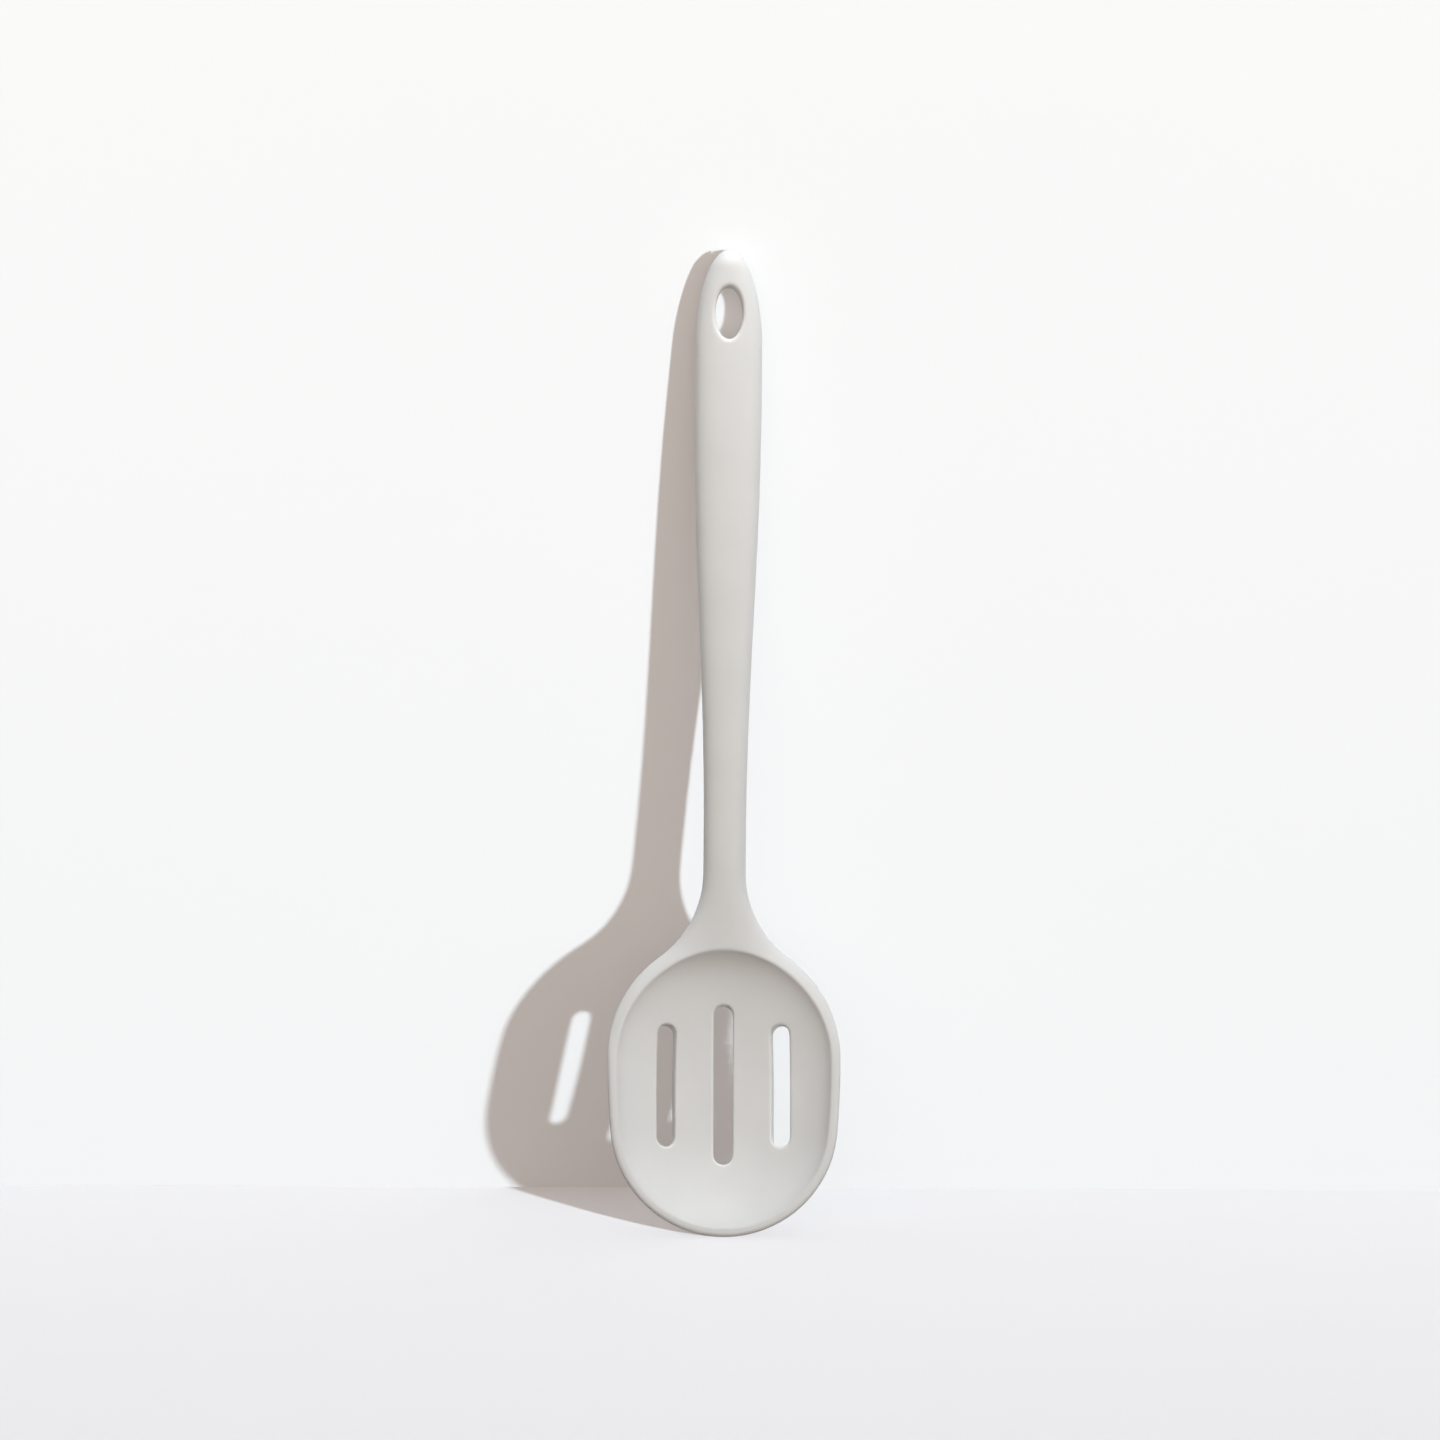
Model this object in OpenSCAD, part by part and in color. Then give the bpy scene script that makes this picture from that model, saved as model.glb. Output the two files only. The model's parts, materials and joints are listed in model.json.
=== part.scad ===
// Slotted skimmer of moulded silicone over a stiff inner core.
// Heights are measured from the bowl's lip up along the tool, so below the bend they lean with the bowl.
// The hollow faces -Y and the handle runs up +Z.
// The finished part is shifted so that the middle of the hanging eye is the origin.

/* [Overall] */
// Length along the tool, from the bowl's lip to the end of the handle
total_len = 300; // [270:1:330]

/* [Bowl] */
// Greatest width of the bowl
bowl_w = 70.6; // [62:0.2:80]
// Height of the bowl's widest place above the lip
widest_z = 54; // [48:0.5:60]
// How much narrower than the widest place the round lip is, on each side
lip_taper = 0.9; // [0.5:0.1:2]
// Radius of the shoulders
shoulder_r = 37.5; // [34:0.5:42]
// Radius of the inward curve from a shoulder to the neck
throat_r = 33; // [28:0.5:38]
// Depth of the hollow below the rim
hollow_depth = 10; // [8.5:0.1:11.5]
// Height of the hollow's deepest place above the lip
deep_z = 32; // [29:0.5:35]
// Height of the hollow's arched upper edge above the lip
arch_z = 86.5; // [82:0.5:90]
// Width of the rim, seen from the front
rim_w = 2.9; // [2.2:0.1:3.5]
// Front rounding of the rim
rim_round = 1.3; // [0.8:0.1:1.8]
// Thickness of the bowl's floor
floor_t = 3.7; // [3.4:0.1:4.5]

/* [Slots] */
// Width of each slot
slot_w = 5.9; // [4.5:0.1:7]
// Distance between slot centres
slot_pitch = 17.5; // [15:0.1:19]
// Height of the middle of the slots above the lip
slot_z = 44.8; // [42:0.1:48]
// Length of the middle slot
mid_slot_len = 48.5; // [40:0.5:54]
// Length of the two outer slots
side_slot_len = 37.2; // [30:0.2:42]
// Outward turn of the two outer slots, square to the curved floor
slot_splay = 12; // [0:1:16]

/* [Handle] */
// Width of the neck
neck_w = 12.9; // [11.5:0.1:15]
// Thickness of the neck
neck_t = 8.8; // [8:0.1:10]
// Length of even neck above the throat
neck_len = 14; // [8:1:24]
// Greatest width of the grip
grip_w = 20.3; // [18:0.1:23]
// Thickness of the grip
grip_t = 10.4; // [9.5:0.1:12]
// Length of grip at full width, with its rounded end
grip_len = 48; // [42:1:60]
// Length of the grip's rounded end
end_len = 30; // [24:1:36]
// Forward lean of the bowl against the handle, in degrees
head_tilt = 12; // [6:0.5:16]
// Height above the lip where the plane of the rim meets the middle of the handle
bend_z = 107; // [102:1:112]
// Softness of the bend between the neck's front and the rim
bend_soft = 1.5; // [0.5:0.1:3]

/* [Hanging eye] */
// Clear width of the eye
eye_w = 8.4; // [7:0.1:9.5]
// Clear length of the eye
eye_len = 15.8; // [13:0.1:18]
// Distance from the handle's end to the middle of the eye
eye_drop = 19.3; // [17:0.1:23]
// Rounding of the eye's edges
eye_round = 2.2; // [1:0.1:2.6]

/* [Core] */
// Silicone over the core in the handle
grip_skin = 1.8; // [1.4:0.1:2]
// Silicone over the core in the bowl
bowl_skin = 1; // [0.8:0.1:1.2]
// Thickness of the core's dished plate
plate_t = 1.2; // [1:0.1:1.4]
// Soft lip left round the core's plate, inside the rim
soft_lip = 6; // [5:0.1:8]
// Silicone between a slot and the core
slot_skin = 1.2; // [0.8:0.1:1.6]
// Gap between the middle slot in the core and the foot of the core's bar
foot_gap = 2; // [1:0.5:4]
// Diameter of the anchor holes, where silicone joins front to back
anchor_d = 4; // [3:0.1:4.6]
// Distance between anchor holes
anchor_pitch = 26; // [20:1:40]

/* [Hidden] */

// Sides of a lofted section and of the eye, and steps along each arc of the outline
section_sides = 36;
eye_sides = 40;
arc_steps = 9;
hollow_rings = 8;

// Exponents of the curves: 2 is an ellipse, more is squarer, less is more pointed
grip_curve = 2.3;
rim_curve = 10;
hollow_across = 2;
hollow_down = 1.6;
underside_across = 2.2;
underside_down = 1.8;

// Room that a cutter has past the faces it cuts
cut_past = 6;
cut_len = 80;

half_w = bowl_w / 2;
neck_half = neck_w / 2;
grip_half = grip_w / 2;
lip_r = half_w - lip_taper;
side_rise = widest_z - lip_r;
side_r = (half_w * half_w + side_rise * side_rise - lip_r * lip_r) / (2 * lip_taper);
side_turn = asin(side_rise / (side_r - lip_r));
shoulder_x = half_w - shoulder_r;
throat_x = neck_half + throat_r;
throat_z = widest_z + sqrt(pow(shoulder_r + throat_r, 2) - pow(throat_x - shoulder_x, 2));
shoulder_turn = atan2(throat_z - widest_z, throat_x - shoulder_x);
swell_z = throat_z + neck_len;
full_z = total_len - grip_len;
end_z = total_len - end_len;
eye_z = total_len - eye_drop;
foot_z = slot_z + mid_slot_len / 2 + slot_skin + foot_gap;
under_depth = hollow_depth + floor_t;
inner_half = half_w - rim_w;

function mix(a, b, t) = a + (b - a) * t;
function clamp01(t) = min(1, max(0, t));
function ease(t) = let (c = clamp01(t)) c * c * (3 - 2 * c);
function signed_pow(v, p) = sign(v) * pow(abs(v), p);
function steps(n) = [for (i = [0:n]) i / n];

// How far a height has passed from the bowl to the handle, for the outer edge and for the back
function edge_share(z) = ease((z - widest_z) / (arch_z + rim_w - widest_z));
function back_share(z) = ease((z - widest_z) / (throat_z - widest_z));
function back_rise(z) = sin(90 * clamp01((z - deep_z) / (throat_z - deep_z)));

// Width and thickness of the handle, which swells from neck to grip
function swell(z) = ease((z - swell_z) / (full_z - swell_z));
function handle_half(z) = mix(neck_half, grip_half, swell(z));
function handle_t(z) = mix(neck_t, grip_t, swell(z));
function quarter_round(past, r) = sqrt(max(0, 1 - pow(clamp01(past / r), 2)));
function handle_half_t(z) = let (r = grip_t / 2) handle_t(z) / 2 * quarter_round(z - (total_len - r), r);

// Depth of the hollow below the rim on the middle line, from 0 at the deepest place to 1 at the rim
function hollow_curve(k) = hollow_depth * pow(max(0, 1 - pow(k, hollow_across)), 1 / hollow_down);
function hollow_reach(z) = z > deep_z ? arch_z - deep_z : deep_z - rim_w;
function hollow_at(z) = hollow_curve(clamp01(abs(z - deep_z) / hollow_reach(z)));
function lip_curve(k) = pow(max(0, 1 - pow(k, underside_across)), 1 / underside_down);

// Level of a height along the tool: straight up on the handle, and along the lean below the bend
function level(z) = z < bend_z ? bend_z - cos(head_tilt) * (bend_z - z) : z;

// Side view: the plane of the rim, then the front, the back and the outer edge along the tool
function rim_plane(z) = -sin(head_tilt) * (bend_z - z);
function soft_max(a, b, soft) = (a + b + sqrt(pow(a - b, 2) + soft * soft)) / 2;
function front_line(z) = z > swell_z ? -handle_half_t(z) : -soft_max(handle_half_t(z), -rim_plane(z), bend_soft);
function back_line(z) =
    z < deep_z ? rim_plane(z) + mix(rim_round, under_depth, lip_curve((deep_z - z) / deep_z))
    : mix(rim_plane(deep_z) + under_depth, handle_half_t(z), back_rise(z));
function edge_line(z) = mix(front_line(z) + rim_round, (front_line(z) + back_line(z)) / 2, edge_share(z));
function floor_line(z) = z < arch_z ? rim_plane(z) + hollow_at(z) : front_line(z);

// One closed section at a height: a widest edge, a front half and a back half
function section(half, z) =
    let (
        edge = edge_line(z),
        front_t = (edge - front_line(z)) * quarter_round(rim_round - z, rim_round),
        back_t = back_line(z) - edge,
        front_x = 2 / mix(rim_curve, grip_curve, edge_share(z)),
        front_y = 2 / mix(2, grip_curve, edge_share(z)),
        back_x = 2 / mix(underside_across, grip_curve, back_share(z)),
        back_y = 2 / mix(underside_down, grip_curve, back_share(z))
    )
    [for (i = [0:section_sides - 1])
        let (
            a = 360 * i / section_sides,
            is_front = cos(a) > 0,
            x = half * signed_pow(sin(a), is_front ? front_x : back_x),
            y = is_front ? -front_t * pow(cos(a), front_y) : back_t * pow(-cos(a), back_y)
        )
        [x, edge + y, level(z)]];

// Half of the outline, from lip to handle, as [half width, height]
function lip_arc(inset) = [for (t = steps(arc_steps))
    let (a = t * (90 - side_turn), r = lip_r - inset) [r * sin(a), lip_r - r * cos(a)]];
function side_arc(inset) = [for (t = steps(3)) if (t > 0)
    let (a = side_turn * (1 - t), r = side_r - inset)
    [half_w - side_r + r * cos(a), widest_z - r * sin(a)]];
function shoulder_arc() = [for (t = steps(arc_steps)) if (t > 0)
    let (a = shoulder_turn * t) [shoulder_x + shoulder_r * cos(a), widest_z + shoulder_r * sin(a)]];
function throat_arc() = [for (t = steps(arc_steps)) if (t > 0)
    let (a = shoulder_turn * (1 - t)) [throat_x - throat_r * cos(a), throat_z - throat_r * sin(a)]];
function handle_side() = [for (t = steps(14)) let (z = mix(swell_z, full_z, t)) [handle_half(z), z]];
function end_arc(half, z0, len) = [for (t = steps(arc_steps)) if (t < 1)
    let (a = 90 * t) [half * cos(a), z0 + len * sin(a)]];
function outline() = concat([for (p = lip_arc(0)) if (p[0] > 0) p], side_arc(0), shoulder_arc(), throat_arc(),
    handle_side(), end_arc(grip_half, end_z, end_len));

// Skin over rings of equal count, closed at each end by a point or, without one, by a flat cap
module skin(rings, first = undef, last = undef) {
    sides = len(rings[0]);
    count = len(rings);
    points = concat([for (r = rings) each r], is_undef(first) ? [] : [first], is_undef(last) ? [] : [last]);
    first_at = count * sides;
    last_at = first_at + (is_undef(first) ? 0 : 1);
    top = (count - 1) * sides;
    walls = [for (j = [0:count - 2]) for (i = [0:sides - 1])
        let (a = j * sides + i, b = j * sides + (i + 1) % sides)
        each [[a, a + sides, b], [b, a + sides, b + sides]]];
    start = is_undef(first) ? [[for (i = [0:sides - 1]) i]]
        : [for (i = [0:sides - 1]) [first_at, i, (i + 1) % sides]];
    finish = is_undef(last) ? [[for (i = [sides - 1:-1:0]) top + i]]
        : [for (i = [0:sides - 1]) [last_at, top + (i + 1) % sides, top + i]];
    polyhedron(points, concat(start, walls, finish));
}

// Whole outer form before the hollow, slots and eye are cut
module outer_form() {
    rings = [for (p = outline()) section(p[0], p[1])];
    skin(rings, [0, edge_line(0), level(0)], [0, 0, total_len]);
}

// Inner edge of the rim: the outline set in below the widest place, and an elliptical arch above it
function arch_arc() = [for (t = steps(arc_steps)) if (t > 0 && t < 1)
    [inner_half * cos(90 * t), widest_z + (arch_z - widest_z) * sin(90 * t)]];
function inner_half_edge() = concat(lip_arc(rim_w), side_arc(rim_w), arch_arc(), [[0, arch_z]]);
function inner_edge() = let (half = inner_half_edge(), last = len(half) - 1)
    concat([for (p = half) [-p[0], p[1]]], [for (i = [last - 1:-1:1]) half[i]]);
function hollow_ring(k, depth) = [for (p = inner_edge())
    let (z = deep_z + k * (p[1] - deep_z)) [k * p[0], rim_plane(z) + depth, level(z)]];

// The hollow, as a solid that stands out past the rim
module hollow() {
    turns = [for (t = steps(hollow_rings)) if (t < 1) 90 * t];
    rings = concat([hollow_ring(1, -cut_past)],
        [for (a = turns) let (k = pow(cos(a), 2 / hollow_across)) hollow_ring(k, hollow_curve(k))]);
    skin(rings, undef, [0, rim_plane(deep_z) + hollow_depth, level(deep_z)]);
}

module stadium(w, length) {
    square([w, length - w], center = true);
    for (s = [-1, 1]) translate([0, s * (length - w) / 2]) circle(d = w);
}

// Three slots through the floor, grown all round by a margin
module slots(margin) {
    for (s = [-1, 0, 1]) {
        length = s == 0 ? mid_slot_len : side_slot_len;
        floor_y = rim_plane(slot_z) + hollow_curve(abs(s) * slot_pitch / inner_half);
        translate([s * slot_pitch, floor_y, level(slot_z)])
            rotate([-head_tilt, 0, 0])
            rotate([0, 0, -s * slot_splay])
            rotate([90, 0, 0])
            linear_extrude(cut_len, center = true)
            stadium(slot_w + 2 * margin, length + 2 * margin);
    }
}

// Oval of the eye, flared at both faces of the handle and grown all round by a margin
function eye_ring(y, grow) = [for (i = [0:eye_sides - 1])
    let (a = 360 * i / eye_sides)
    [(eye_w / 2 + grow) * cos(a), y, eye_z - (eye_len / 2 + grow) * sin(a)]];
function eye_flare(y) = eye_round * (1 - quarter_round(abs(y) - (handle_half_t(eye_z) - eye_round), eye_round));
module eye() {
    face = handle_half_t(eye_z);
    depths = [for (t = steps(6)) face - eye_round + eye_round * sin(90 * t)];
    back = [for (y = depths) eye_ring(y, eye_flare(y))];
    front = [for (i = [len(depths) - 1:-1:0]) eye_ring(-depths[i], eye_flare(depths[i]))];
    skin(concat([eye_ring(-face - cut_past, eye_round)], front, back, [eye_ring(face + cut_past, eye_round)]));
}
module eye_clear() {
    skin([eye_ring(-cut_past, grip_skin), eye_ring(cut_past, grip_skin)]);
}

// Bar of the core: the handle set in by its skin, down to a foot on the plate
function bar_half(z) = handle_half(z) - grip_skin;
function bar_section(half, z) =
    let (
        cover = mix(bowl_skin, grip_skin, back_share(z)),
        front = floor_line(z) + cover,
        back = back_line(z) - cover
    )
    [for (i = [0:section_sides / 2 - 1])
        let (a = 720 * i / section_sides)
        [half * signed_pow(sin(a), 2 / grip_curve),
            (front + back) / 2 - (back - front) / 2 * signed_pow(cos(a), 2 / grip_curve), level(z)]];
module bar() {
    low = [for (t = steps(10)) if (t < 1) let (z = mix(foot_z, swell_z, t)) [bar_half(z), z]];
    high = [for (t = steps(10)) let (z = mix(swell_z, full_z, t)) [bar_half(z), z]];
    top = [for (p = end_arc(bar_half(end_z), end_z, end_len - grip_skin)) if (p[0] > grip_skin) p];
    skin([for (p = concat(low, high, top)) bar_section(p[0], p[1])]);
}

// Dished plate of the core, under the hollow's floor and short of the soft lip
module plate() {
    widest = 1 - soft_lip / inner_half;
    shares = [for (t = steps(hollow_rings)) if (t > 0) widest * t];
    middle = rim_plane(deep_z) + hollow_depth + bowl_skin;
    front = [for (k = shares) hollow_ring(k, hollow_curve(k) + bowl_skin)];
    back = [for (i = [len(shares) - 1:-1:0])
        hollow_ring(shares[i], hollow_curve(shares[i]) + bowl_skin + plate_t)];
    skin(concat(front, back), [0, middle, level(deep_z)], [0, middle + plate_t, level(deep_z)]);
}

// Row of anchor holes along the bar, from the neck to below the eye
module anchors() {
    last_z = eye_z - eye_len / 2 - grip_skin - anchor_pitch / 2;
    for (z = [swell_z:anchor_pitch:last_z])
        translate([0, 0, z]) rotate([90, 0, 0]) cylinder(d = anchor_d, h = 2 * grip_t, center = true);
}

module core_form() {
    difference() {
        union() {
            bar();
            plate();
        }
        slots(slot_skin);
        eye_clear();
        anchors();
    }
}

module silicone_body() {
    color("gainsboro")
    translate([0, 0, -eye_z])
    difference() {
        outer_form();
        hollow();
        slots(0);
        eye();
        core_form();
    }
}

module stiffening_core() {
    color("dimgray")
    translate([0, 0, -eye_z])
    core_form();
}

silicone_body();
stiffening_core();
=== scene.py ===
# %% [markdown]
# A slotted skimmer of moulded silicone.
# The real tool is one soft, matte grey moulding over a stiff inner core: a shallow oval bowl with
# three slots, a slim neck, and a handle that swells to a grip with a hanging eye at its end.
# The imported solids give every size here. This lesson makes the smooth outer skin that the eye sees,
# gives it its finish, and sets it against a pale wall under studio light.

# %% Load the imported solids
import json
import math

import bmesh
import bpy
import numpy as np
from mathutils import Matrix, Vector
from mathutils.geometry import delaunay_2d_cdt
from mathutils.kdtree import KDTree

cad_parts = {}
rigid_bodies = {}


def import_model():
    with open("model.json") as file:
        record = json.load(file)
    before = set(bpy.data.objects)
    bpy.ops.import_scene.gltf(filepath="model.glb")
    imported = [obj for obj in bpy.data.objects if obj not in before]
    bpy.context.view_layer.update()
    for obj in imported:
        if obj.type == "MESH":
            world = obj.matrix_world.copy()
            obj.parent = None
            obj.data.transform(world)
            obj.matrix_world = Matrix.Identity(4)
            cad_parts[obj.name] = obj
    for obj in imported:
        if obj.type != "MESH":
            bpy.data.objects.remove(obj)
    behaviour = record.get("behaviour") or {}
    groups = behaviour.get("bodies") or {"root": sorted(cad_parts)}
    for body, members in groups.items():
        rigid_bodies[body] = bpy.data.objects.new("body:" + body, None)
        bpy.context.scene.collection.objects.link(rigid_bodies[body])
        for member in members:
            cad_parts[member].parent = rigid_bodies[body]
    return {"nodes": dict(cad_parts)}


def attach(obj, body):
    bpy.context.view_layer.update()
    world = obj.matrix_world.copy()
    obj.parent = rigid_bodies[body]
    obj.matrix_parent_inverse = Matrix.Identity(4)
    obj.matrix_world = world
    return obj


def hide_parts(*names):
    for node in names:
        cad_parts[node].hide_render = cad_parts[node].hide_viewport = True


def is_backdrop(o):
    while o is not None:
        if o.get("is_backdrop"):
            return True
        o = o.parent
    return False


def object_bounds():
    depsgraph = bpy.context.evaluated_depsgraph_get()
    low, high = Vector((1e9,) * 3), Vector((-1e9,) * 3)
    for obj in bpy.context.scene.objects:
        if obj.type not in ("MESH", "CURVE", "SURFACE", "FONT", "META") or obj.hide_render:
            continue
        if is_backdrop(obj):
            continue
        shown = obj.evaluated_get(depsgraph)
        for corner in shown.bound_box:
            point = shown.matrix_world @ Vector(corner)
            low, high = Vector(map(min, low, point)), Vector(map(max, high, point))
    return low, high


for leftover in list(bpy.data.objects):
    bpy.data.objects.remove(leftover)

MM = 0.001


def in_mm(values):
    return [round(value / MM, 2) for value in values]


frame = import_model()
cad_low, cad_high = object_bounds()
print("solids:", sorted(frame["nodes"]))
print("their box in mm:", in_mm(cad_low), in_mm(cad_high))

# %% [markdown]
# Sizes come first, in millimetres, as a maker would read them off the drawing.
# Heights run from the bowl's lip up along the tool, so below the bend they lean with the bowl.
# Keeping them in one place means that the outline, the slots and the lifting rule below all agree.

# %% Sizes of the tool
TOOL_LENGTH = 300.0
BOWL_HALF = 35.3
WIDEST = 54.0
LIP_TAPER = 0.9
SHOULDER_RADIUS = 37.5
THROAT_RADIUS = 33.0
HOLLOW_DEPTH = 10.0
DEEPEST = 32.0
FLOOR_THICKNESS = 3.7
ARCH_TOP = 86.5
RIM_WIDTH = 2.9
RIM_ROUND = 1.3
HEAD_LEAN = math.radians(12.0)
BEND = 107.0
BEND_SOFTNESS = 1.5
NECK_HALF = 6.45
NECK_THICKNESS = 8.8
NECK_LENGTH = 14.0
GRIP_HALF = 10.15
GRIP_THICKNESS = 10.4
GRIP_LENGTH = 48.0
END_LENGTH = 30.0
EYE_DROP = 19.3
EYE_HEIGHT = TOOL_LENGTH - EYE_DROP
GRIP_START = TOOL_LENGTH - GRIP_LENGTH
END_START = TOOL_LENGTH - END_LENGTH
INNER_HALF = BOWL_HALF - RIM_WIDTH
print("tool", TOOL_LENGTH, "mm long, bowl", 2 * BOWL_HALF, "mm wide, eye at", EYE_HEIGHT, "mm")

# %% [markdown]
# The outline, seen from the front, is a chain of arcs that meet without a corner: a round lip, nearly
# straight sides, shoulders that turn in, throats that turn out to the neck, an easy swell and an elliptical
# end. It could be traced with a curve object, but arcs worked out from the sizes keep it exact and even.

# %% Outline of the tool
LIP_RADIUS = BOWL_HALF - LIP_TAPER
SIDE_RISE = WIDEST - LIP_RADIUS
SIDE_RADIUS = (BOWL_HALF ** 2 + SIDE_RISE ** 2 - LIP_RADIUS ** 2) / (2 * LIP_TAPER)
SIDE_TURN = math.asin(SIDE_RISE / (SIDE_RADIUS - LIP_RADIUS))
SHOULDER_X = BOWL_HALF - SHOULDER_RADIUS
THROAT_X = NECK_HALF + THROAT_RADIUS
THROAT = WIDEST + math.sqrt((SHOULDER_RADIUS + THROAT_RADIUS) ** 2 - (THROAT_X - SHOULDER_X) ** 2)
SHOULDER_TURN = math.atan2(THROAT - WIDEST, THROAT_X - SHOULDER_X)
SWELL_START = THROAT + NECK_LENGTH
LIP_END = LIP_RADIUS * (1 - math.sin(SIDE_TURN))
SHOULDER_END = WIDEST + SHOULDER_RADIUS * math.sin(SHOULDER_TURN)


def ease(value, start, end):
    share = np.clip((value - start) / (end - start), 0.0, 1.0)
    return share * share * (3 - 2 * share)


def arc_half(radius, offset):
    return np.sqrt(np.maximum(0.0, radius ** 2 - offset ** 2))


def half_width(height):
    lip = arc_half(LIP_RADIUS, LIP_RADIUS - height)
    side = BOWL_HALF - SIDE_RADIUS + arc_half(SIDE_RADIUS, WIDEST - height)
    shoulder = SHOULDER_X + arc_half(SHOULDER_RADIUS, height - WIDEST)
    throat = THROAT_X - arc_half(THROAT_RADIUS, THROAT - height)
    handle = NECK_HALF + (GRIP_HALF - NECK_HALF) * ease(height, SWELL_START, GRIP_START)
    end = GRIP_HALF * arc_half(END_LENGTH, np.maximum(0.0, height - END_START)) / END_LENGTH
    places = [height < LIP_END, height < WIDEST, height < SHOULDER_END, height < THROAT, height < END_START]
    return np.select(places, [lip, side, shoulder, throat, handle], end)


def resample(points, spacing):
    closed = np.vstack([points, points[:1]])
    travel = np.concatenate([[0.0], np.cumsum(np.linalg.norm(np.diff(closed, axis=0), axis=1))])
    count = int(round(travel[-1] / spacing))
    places = np.linspace(0.0, travel[-1], count, endpoint=False)
    return np.stack([np.interp(places, travel, closed[:, axis]) for axis in (0, 1)], axis=1)


DENSE_STEPS = 6000
FINE_STEP = 0.05
half_turn = np.linspace(0.0, math.pi, DENSE_STEPS)
heights = TOOL_LENGTH * (1 - np.cos(half_turn)) / 2
right_side = np.stack([half_width(heights), heights], axis=1)
left_side = right_side[-2:0:-1] * (-1, 1)
full_outline = np.vstack([right_side, left_side])
fine_outline = resample(full_outline, FINE_STEP)
print("outline", len(fine_outline), "points, widest", round(float(fine_outline[:, 0].max()) * 2, 2), "mm")

# %% [markdown]
# The hollow has its own inner edge: the outline set in by the rim's width, with an elliptical arch on top.
# Each place in the bowl then has a share: 0 at the deepest place, 1 on that edge, more outside it.
# One number for each place is enough to say how deep the hollow is there, so the depth stays a plain rule.

# %% Inner edge of the rim and the hollow's share
HOLLOW_ACROSS = 2.0
HOLLOW_DOWN = 1.6
EDGE_STEPS = 400


def inner_edge():
    lip_angle = np.linspace(0.0, math.pi / 2 - SIDE_TURN, EDGE_STEPS)
    lip_r = LIP_RADIUS - RIM_WIDTH
    lip = np.stack([lip_r * np.sin(lip_angle), LIP_RADIUS - lip_r * np.cos(lip_angle)], axis=1)
    side_angle = np.linspace(SIDE_TURN, 0.0, EDGE_STEPS)
    side_r = SIDE_RADIUS - RIM_WIDTH
    side_x = BOWL_HALF - SIDE_RADIUS + side_r * np.cos(side_angle)
    side = np.stack([side_x, WIDEST - side_r * np.sin(side_angle)], axis=1)
    arch_angle = np.linspace(0.0, math.pi / 2, EDGE_STEPS)
    arch_rise = (ARCH_TOP - WIDEST) * np.sin(arch_angle)
    arch = np.stack([INNER_HALF * np.cos(arch_angle), WIDEST + arch_rise], axis=1)
    right = np.vstack([lip, side[1:], arch[1:]])
    return np.vstack([right, right[-2:0:-1] * (-1, 1)])


rim_inner = inner_edge()
edge_angle = np.arctan2(rim_inner[:, 1] - DEEPEST, rim_inner[:, 0])
edge_reach = np.hypot(rim_inner[:, 0], rim_inner[:, 1] - DEEPEST)
angle_order = np.argsort(edge_angle)


def hollow_share(points):
    angle = np.arctan2(points[:, 1] - DEEPEST, points[:, 0])
    reach = np.interp(angle, edge_angle[angle_order], edge_reach[angle_order], period=2 * math.pi)
    return np.hypot(points[:, 0], points[:, 1] - DEEPEST) / reach


def hollow_at(points):
    share = hollow_share(points)
    return HOLLOW_DEPTH * np.maximum(0.0, 1 - share ** HOLLOW_ACROSS) ** (1 / HOLLOW_DOWN)


print("inner edge", len(rim_inner), "points, hollow at the middle", HOLLOW_DEPTH, "mm")

# %% [markdown]
# Three slots let the broth drain and an oval eye takes a hook. Each is a closed loop in the flat pattern.
# A slot is cut square to the leaning bowl, and the outer two turn outwards with the curved floor,
# so on the back of the bowl every loop lies a little lower, and the outer loops a little further out.

# %% Slots and hanging eye
SLOT_WIDTH = 5.9
SLOT_PITCH = 17.5
SLOT_MIDDLE = 44.8
SLOT_SPLAY = math.radians(12.0)
SLOT_LENGTHS = {-1: 37.2, 0: 48.5, 1: 37.2}
SLOT_COUNT = len(SLOT_LENGTHS)
SLOT_ROUND = 0.7
SLOT_STEP = 0.75
SLOT_BEND_STEPS = 400
EYE_WIDTH = 8.4
EYE_LENGTH = 15.8
EYE_ROUND = 1.3
EYE_POINTS = 72


def slot_loop(side, grow):
    radius = SLOT_WIDTH / 2
    straight = SLOT_LENGTHS[side] / 2 - radius
    bend = np.linspace(0.0, math.pi, SLOT_BEND_STEPS)
    top = np.stack([np.cos(bend), np.sin(bend)], axis=1)
    upper = (0.0, straight) + radius * top
    lower = (0.0, -straight) - radius * top
    even = resample(np.vstack([upper, lower]), SLOT_STEP)
    core = np.stack([np.zeros(len(even)), np.clip(even[:, 1], -straight, straight)], axis=1)
    outward = (even - core) / radius
    return even + grow * outward + (side * SLOT_PITCH, SLOT_MIDDLE)


def through_floor(points, side, is_back):
    middle = hollow_at(np.array([[side * SLOT_PITCH, SLOT_MIDDLE]]))[0]
    lead = hollow_at(points) - middle + (FLOOR_THICKNESS if is_back else 0.0)
    shift = np.stack([side * math.tan(SLOT_SPLAY) * lead, -math.sin(HEAD_LEAN) * lead], axis=1)
    return points + shift


def eye_loop(grow):
    angle = np.linspace(0.0, 2 * math.pi, EYE_POINTS, endpoint=False)
    across = (EYE_WIDTH / 2 + grow) * np.cos(angle)
    along = EYE_HEIGHT + (EYE_LENGTH / 2 + grow) * np.sin(angle)
    return np.stack([across, along], axis=1)


def cut_loops(is_back, grow):
    slots = [through_floor(slot_loop(side, grow), side, is_back) for side in SLOT_LENGTHS]
    return slots + [eye_loop(grow)]


print("points round each cut:", [len(loop) for loop in cut_loops(False, 0.0)])

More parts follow.
